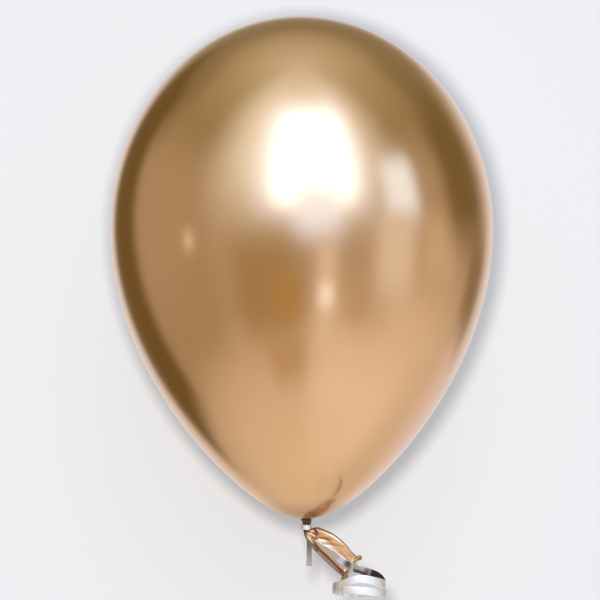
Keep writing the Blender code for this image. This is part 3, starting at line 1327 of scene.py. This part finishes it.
@dataclass
class LongEnd:
    """The ribbon's long end: over the front of the tail, past the rim and into a loose curl."""

    finishes: Finishes
    length: float = 244.0 * MM
    run_length: float = 45.0 * MM  # of it, from the tie to the curl
    gather: float = 23.0 * MM  # of it, along which it opens out from the tie
    width: float = 6.0 * MM
    step: float = 0.8 * MM
    run: tuple[tuple[float, float, float], ...] = (
        (1.6, -4.25, -6.4),
        (7.5, -4.25, -10.9),
        (14.5, -4.25, -16.8),
        (22.0, -4.3, -22.6),
        (27.5, -5.5, -26.7),
        (32.0, -6.2, -29.4),
        (38.0, -4.9, -31.2),
    )  # over the tail and its rim, in millimetres
    run_tilt: float = math.radians(4.2)  # its upper edge stands forward
    curl_centre: Vector = Vector((37.1 * MM, -24.8 * MM, 0.0))
    curl: tuple[tuple[float, float], ...] = (
        (19.2, -31.4),
        (19.2, -35.4),
        (19.2, -40.0),
        (19.1, -36.6),
        (19.0, -33.8),
        (19.1, -38.2),
        (19.2, -42.4),
        (19.2, -46.4),
        (19.3, -48.2),
        (19.5, -47.8),
        (19.8, -46.8),
        (20.0, -44.2),
        (20.4, -42.0),
        (21.0, -41.2),
        (21.6, -40.8),
    )  # radius and height after each eighth of a turn, clockwise from its rear, in millimetres
    run_steps: int = 60
    line_steps: int = 1200
    points_per_eighth: int = 8
    lead_in: int = 4  # points of the curl left out where the run eases into it
    rough_step: float = 2.5 * MM  # between the points that the final line is eased through
    bend_start: Vector = Vector((33.0 * MM, -5.5 * MM, -30.0 * MM))
    bend_end: Vector = Vector((35.5 * MM, -8.5 * MM, -35.0 * MM))

    def curl_point(self, eighths: float) -> Vector:
        """Point of the curl after a number of eighth turns.

        Args:
            eighths: eighth turns from the curl's rear.

        Returns:
            The point.
        """
        turns = [Vector((radius, 0.0, z)) * MM for radius, z in self.curl]
        shape = catmull(turns, eighths / (len(turns) - 1))
        angle = eighths * math.tau / 8
        return self.curl_centre + Vector((math.sin(angle) * shape.x, math.cos(angle) * shape.x, shape.z))

    def route(self) -> list[Vector]:
        """Points of the whole long end, cut to its length.

        Returns:
            The points, evenly spaced.
        """
        points = traced([Vector(point) * MM for point in self.run], self.run_steps)
        for number in range(self.lead_in, (len(self.curl) - 1) * self.points_per_eighth + 1):
            points.append(self.curl_point(number / self.points_per_eighth))
        rough = even_steps(points, self.rough_step)
        return even_steps(traced(rough, self.line_steps), self.step, self.length)

    def broad_side(self, line: Sequence[Vector]) -> list[Vector]:
        """Direction across the ribbon at each point: in the tail's plane, then upright round the curl.

        Args:
            line: the ribbon's centre line.

        Returns:
            A unit vector for each point.
        """
        sides = []
        for index in range(len(line)):
            after = line[min(index + 1, len(line) - 1)]
            before = line[max(index - 1, 0)]
            forward = (after - before).normalized()
            flat = Vector((0.0, 1.0, 0.0)).cross(forward).normalized()
            if flat.z < 0:
                flat = -flat
            flat = flat * math.cos(self.run_tilt) - Vector((0.0, math.sin(self.run_tilt), 0.0))
            share = smooth(0.7 * self.run_length, 1.1 * self.run_length, index * self.step)
            sides.append(flat.lerp(Vector((0.0, 0.0, 1.0)), share).normalized())
        return sides

    @staticmethod
    def painted_shade(across: float, distance: float) -> float:
        """Painted shade and dark reflection on the reverse, from 0 to 1.

        Args:
            across: place across the ribbon, from -1 at its lower edge to 1.
            distance: how far from the tie.

        Returns:
            0 for none, 1 for the darkest painted shade.
        """
        # Painted shade and dark reflection: a patch where the run crosses the rim, the lower half past
        # it, and the top of the curl's first turn.
        far = distance / MM
        first = 0.9 * hump(35.0, 3.0, far) * smooth(-0.9, -0.2, across)
        lower = 0.9 * smooth(0.1, 0.5, -across)
        lower *= smooth(39.0, 42.0, far) * (1.0 - smooth(50.0, 54.0, far))
        start = 0.5 * smooth(48.0, 51.0, far) * (1.0 - smooth(52.0, 54.0, far))
        curl_top_shade = 0.97 * smooth(52.0, 55.0, far) * (1.0 - smooth(74.0, 84.0, far))
        return max(first, lower, start, curl_top_shade)

    def build(self) -> bpy.types.Object:
        """Returns:
            The ribbon.
        """
        line = self.route()
        sides = self.broad_side(line)
        strip = Strip(line, sides, width=self.width, painted_shade=self.painted_shade, gather=self.gather)
        faces = [self.finishes.silver_reverse, self.finishes.silver]
        ribbon = finished("curled_ribbon_end", strip.mesh(), faces)
        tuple(self.bend_start)
        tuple(self.bend_end)
        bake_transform(ribbon)
        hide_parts("ribbon_front_run", "ribbon_curl")
        return ribbon


@dataclass
class ShortEnd:
    """The ribbon's short end: out of the knot and straight down behind the tail."""

    finishes: Finishes
    length: float = 37.0 * MM
    width: float = 6.0 * MM
    step: float = 0.8 * MM
    route: tuple[tuple[float, float, float], ...] = (
        (0.9, 6.6, -1.0),
        (1.0, 8.2, 2.2),
        (1.2, 10.0, 1.0),
        (1.4, 9.4, -3.5),
        (1.6, 7.6, -12.0),
        (1.7, 6.8, -22.0),
        (1.5, 6.6, -32.0),
    )  # x, y and z, in millimetres
    line_steps: int = 200
    turn_top: float = math.radians(-69.0)  # of its broad side about Z, where it leaves the knot
    turn_foot: float = math.radians(-45.0)  # and at its cut end

    @staticmethod
    def painted_shade(across: float, distance: float) -> float:
        """Painted shade on the reverse, darkest near the knot and fading down it, from 0 to 1."""
        return (0.72 + 0.12 * across) * (1.0 - smooth(18.0 * MM, 37.0 * MM, distance))

    def build(self) -> bpy.types.Object:
        """Returns:
            The ribbon.
        """
        points = traced([Vector(point) * MM for point in self.route], self.line_steps)
        line = even_steps(points, self.step, self.length)
        sides = []
        for index in range(len(line)):
            angle = self.turn_top + (self.turn_foot - self.turn_top) * index / len(line)
            sides.append(Vector((math.cos(angle), math.sin(angle), 0.0)))
        strip = Strip(line, sides, width=self.width, painted_shade=self.painted_shade)
        faces = [self.finishes.silver_reverse, self.finishes.silver]
        ribbon = finished("straight_ribbon_end", strip.mesh(), faces)
        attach(ribbon, Body.SHORT_END.value)
        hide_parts("ribbon_short_end")
        return ribbon


# ---------------------------------------------------------------- the studio


@dataclass(frozen=True)
class LightPatch:
    """A soft-edged area of the studio, by its direction from the object, in degrees.

    Azimuth 0 is the camera's side and +90 is towards +X.
    """

    azimuth: float
    elevation: float
    half_width: float
    half_height: float
    softness: float
    colour: Colour
    slant: float = 0.0  # degrees of azimuth for each degree upwards


@dataclass
class Studio:
    """Camera, pale sweep, key lamp and the soft surroundings that the chrome skin mirrors."""

    camera_distance: float = 1.65
    camera_x: float = -1.9 * MM
    camera_z: float = 166.3 * MM
    camera_roll: float = math.radians(-1.0)
    lens: float = 135.0
    backdrop_y: float = 0.158
    floor_z: float = -0.35
    sweep_radius: float = 0.18
    sweep_half_width: float = 2.2
    sweep_front: float = -2.6
    sweep_top: float = 2.0
    sweep_bend: tuple[float, float] = (0.25, 0.75)  # shares of the sweep where its bend starts and ends
    sweep_faces: tuple[int, int] = (4, 48)
    pale: Colour = (0.879, 0.879, 0.893)
    paper: Colour = (0.911, 0.887, 0.848)
    backdrop_glow: float = 0.425
    backdrop_albedo: float = 0.15
    lamp_place: Vector = Vector((-0.025, -1.20, 0.200))
    lamp_power: float = 180.0
    lamp_radius: float = 0.05
    gradient: tuple[tuple[float, Colour], ...] = (
        (-90.0, (1.00, 1.00, 1.00)),
        (-60.0, (0.92, 0.88, 0.96)),
        (-42.0, (0.74, 0.67, 0.68)),
        (-30.0, (0.58, 0.50, 0.47)),
        (-8.0, (0.60, 0.54, 0.52)),
        (20.0, (0.56, 0.50, 0.45)),
        (42.0, (0.43, 0.38, 0.29)),
        (62.0, (0.56, 0.54, 0.46)),
        (90.0, (0.86, 0.90, 1.00)),
    )
    patches: tuple[LightPatch, ...] = (
        LightPatch(180.0, 40.0, 70.0, 14.0, 10.0, (0.34, 0.30, 0.21)),
        LightPatch(180.0, -14.0, 34.0, 34.0, 9.0, (0.88, 0.86, 0.90)),
        LightPatch(102.0, -42.0, 42.0, 24.0, 12.0, (0.85, 0.81, 0.87)),
        LightPatch(58.0, -60.0, 52.0, 24.0, 26.0, (1.12, 1.10, 1.28)),
        LightPatch(148.0, -28.0, 20.0, 13.0, 7.0, (0.95, 0.91, 1.06)),
        LightPatch(-92.0, -13.0, 34.0, 27.0, 9.0, (0.52, 0.455, 0.405)),
        LightPatch(-92.0, 2.0, 22.0, 20.0, 14.0, (0.58, 0.51, 0.48)),
        LightPatch(-133.0, 1.5, 16.0, 39.0, 6.0, (0.20, 0.145, 0.06), slant=-0.15),
        LightPatch(92.0, -6.0, 14.0, 10.0, 6.0, (0.80, 0.75, 0.78)),
        LightPatch(116.0, 17.5, 19.0, 20.0, 9.0, (0.25, 0.20, 0.10)),
        LightPatch(132.0, -9.0, 10.0, 8.0, 5.0, (0.34, 0.27, 0.20)),
        LightPatch(1.0, 44.0, 50.0, 32.0, 24.0, (1.25, 1.50, 2.10)),
        LightPatch(7.0, 35.0, 31.0, 25.0, 13.0, (1.50, 2.15, 4.50)),
        LightPatch(7.5, 34.0, 20.5, 18.5, 10.0, (6.0, 7.0, 9.5)),
        LightPatch(9.0, 10.0, 14.0, 13.0, 9.0, (1.32, 1.80, 3.50)),
        LightPatch(62.5, 16.0, 11.0, 12.5, 6.0, (1.28, 1.80, 3.30)),
        LightPatch(58.0, -9.5, 13.0, 15.0, 8.0, (1.00, 1.06, 1.36)),
        LightPatch(-22.0, -22.0, 20.0, 18.0, 9.0, (0.50, 0.41, 0.28)),
        LightPatch(-10.0, -27.0, 10.0, 9.0, 5.0, (0.57, 0.43, 0.22)),
        LightPatch(-14.0, -50.0, 16.0, 8.0, 6.0, (0.68, 0.56, 0.45)),
        LightPatch(15.0, -26.0, 6.0, 20.0, 5.0, (1.00, 1.00, 1.20)),
        LightPatch(37.0, -27.0, 8.0, 9.0, 5.0, (0.68, 0.60, 0.56)),
        LightPatch(15.0, -27.0, 4.0, 4.0, 3.0, (1.70, 2.00, 3.20)),
        LightPatch(-70.0, -3.0, 2.5, 2.5, 3.0, (1.45, 1.50, 1.85)),
    )

    def camera(self) -> None:
        """Aim a long lens along +Y from the front, with a slight roll."""
        data = bpy.data.cameras.new("camera")
        data.lens = self.lens
        camera = bpy.data.objects.new("camera", data)
        level = Matrix.Rotation(math.pi / 2, 4, "X")
        roll = Matrix.Rotation(self.camera_roll, 4, "Z")
        stand = Matrix.Translation((self.camera_x, -self.camera_distance, self.camera_z))
        camera.matrix_world = stand @ level @ roll
        bpy.context.scene.collection.objects.link(camera)
        bpy.context.scene.camera = camera
        bpy.context.scene.view_settings.view_transform = "Standard"

    def sweep_point(self, across: float, along: float) -> Vector:
        """Point of the floor, the bend behind it and the upright backdrop.

        Args:
            across: share of its width.
            along: share of its length: the floor, the bend, then the backdrop.

        Returns:
            The point.
        """
        x = self.sweep_half_width * (2.0 * across - 1.0)
        bend_y = self.backdrop_y - self.sweep_radius
        start, end = self.sweep_bend
        if along <= start:
            y = self.sweep_front + (bend_y - self.sweep_front) * along / start
            return Vector((x, y, self.floor_z))
        if along >= end:
            low = self.floor_z + self.sweep_radius
            z = low + (self.sweep_top - low) * (along - end) / (1.0 - end)
            return Vector((x, self.backdrop_y, z))
        turn = (along - start) / (end - start) * math.pi / 2
        rise = self.sweep_radius * (1.0 - math.cos(turn))
        return Vector((x, bend_y + self.sweep_radius * math.sin(turn), self.floor_z + rise))

    def backdrop(self) -> None:
        """The pale sweep, which shows from its front only and stays out of reflections."""
        bm = mapped_grid(*self.sweep_faces, self.sweep_point, closed=False)
        if sum(face.normal.z - face.normal.y for face in bm.faces) < 0:
            bmesh.ops.reverse_faces(bm, faces=bm.faces)
        sweep = finished("studio_sweep", bm, [self.backdrop_material()])
        sweep.visible_glossy = False
        sweep.visible_diffuse = False
        sweep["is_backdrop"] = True

    def backdrop_material(self) -> bpy.types.Material:
        """Matt pale paper that glows a little, so that the shadow on it stays soft.

        Returns:
            The material.
        """
        made, graph, shader = start_material("studio_paper")
        matt = tuple(self.backdrop_albedo * part for part in self.paper)
        shader.inputs["Base Color"].default_value = (*matt, 1.0)
        shader.inputs["Roughness"].default_value = 1.0
        shader.inputs["Specular IOR Level"].default_value = 0.0
        shader.inputs["Emission Color"].default_value = (*self.paper, 1.0)
        shader.inputs["Emission Strength"].default_value = self.backdrop_glow
        clear = graph.add("ShaderNodeBsdfTransparent")
        choose = graph.add("ShaderNodeMixShader")
        graph.feed(choose.inputs[0], graph.add("ShaderNodeNewGeometry").outputs["Backfacing"])
        graph.feed(choose.inputs[1], shader.outputs[0])
        graph.feed(choose.inputs[2], clear.outputs[0])
        graph.feed(made.node_tree.nodes["Material Output"].inputs["Surface"], choose.outputs[0])
        return made

    def lamp(self) -> None:
        """The key lamp, near the camera's upper left, which casts the soft shadow."""
        data = bpy.data.lights.new("key_lamp", "POINT")
        data.energy = self.lamp_power
        data.shadow_soft_size = self.lamp_radius
        lamp = bpy.data.objects.new("key_lamp", data)
        lamp.location = self.lamp_place
        lamp.visible_glossy = False
        bpy.context.scene.collection.objects.link(lamp)

    @staticmethod
    def patch_group() -> bpy.types.NodeTree:
        """Mask of one soft-edged patch of the surroundings.

        Returns:
            The group.
        """
        seen, patch = ("Azimuth", "Elevation"), ("Centre", "Height", "Half Width", "Half Height")
        inputs = {name: (NUMBER, 0.0) for name in (*seen, *patch, "Softness", "Slant")}
        graph, given, made = new_group("light_patch", inputs, {"Mask": NUMBER})
        rise = graph.math("SUBTRACT", given["Elevation"], given["Height"])
        lean = graph.math("MULTIPLY", rise, given["Slant"])
        swing = graph.math("SUBTRACT", graph.math("SUBTRACT", given["Azimuth"], given["Centre"]), lean)
        wrapped = graph.math("WRAP", swing, 180.0, -180.0)
        masks = []
        for offset, half in ((wrapped, given["Half Width"]), (rise, given["Half Height"])):
            past = graph.math("SUBTRACT", graph.math("ABSOLUTE", offset), half)
            share = graph.math("DIVIDE", past, given["Softness"])
            masks.append(graph.scaled(share, -1.0, 1.0, 1.0, 0.0))
        graph.feed(made["Mask"], graph.math("MULTIPLY", masks[0], masks[1]))
        return graph.tree

    def surroundings(self) -> None:
        """World light: a pale room for the camera, soft panels and dark corners for the chrome."""
        world = bpy.data.worlds.new("studio")
        world.use_nodes = True
        bpy.context.scene.world = world
        graph = Graph(world.node_tree)
        split = graph.add("ShaderNodeSeparateXYZ")
        graph.feed(split.inputs[0], graph.add("ShaderNodeTexCoord").outputs["Generated"])
        east, north, up = split.outputs
        azimuth = graph.math("ARCTAN2", east, graph.math("MULTIPLY", north, -1.0))
        azimuth = graph.math("DEGREES", azimuth)
        elevation = graph.math("DEGREES", graph.math("ARCSINE", up))
        ramp = graph.add("ShaderNodeValToRGB")
        graph.feed(ramp.inputs[0], graph.math("MULTIPLY_ADD", elevation, 1.0 / 180.0, 0.5))
        stops = ramp.color_ramp.elements
        while len(stops) < len(self.gradient):
            stops.new(0.5)
        for stop, (height, colour) in zip(stops, self.gradient):
            stop.position = (height + 90.0) / 180.0
            stop.color = (*colour, 1.0)
        light = ramp.outputs[0]
        shared = self.patch_group()
        for patch in self.patches:
            mask = graph.group(
                shared,
                Azimuth=azimuth,
                Elevation=elevation,
                Centre=patch.azimuth,
                Height=patch.elevation,
                Half_Width=patch.half_width,
                Half_Height=patch.half_height,
                Softness=patch.softness,
                Slant=patch.slant,
            )
            light = graph.mix(mask.outputs["Mask"], light, patch.colour)
        seen = graph.add("ShaderNodeLightPath").outputs["Is Camera Ray"]
        background = world.node_tree.nodes["Background"]
        graph.feed(background.inputs["Color"], graph.mix(seen, light, self.pale))

    def build(self) -> None:
        """Set up everything but the object."""
        self.backdrop()
        self.lamp()
        self.surroundings()


def corners(box: tuple[Vector, Vector]) -> list[list[float]]:
    """A box as plain lists of numbers."""
    return [list(corner) for corner in box]


def main() -> None:
    """Build the balloon round its frame."""
    logging.basicConfig(level=logging.INFO, format="%(name)s %(message)s")
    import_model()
    cad_box = corners(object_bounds())
    studio = Studio()
    studio.camera()
    finishes = Finishes.build()
    LongEnd(finishes).build()
    ShortEnd(finishes).build()
    RibbonTie(finishes).build()
    Envelope(finishes.stretched).build()
    NeckGather(finishes.slack).build()
    SlackTail(finishes.slack, finishes.rolled).build()
    studio.build()
    {"cad": cad_box, "visual": corners(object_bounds())}


if __name__ == "__main__":
    main()
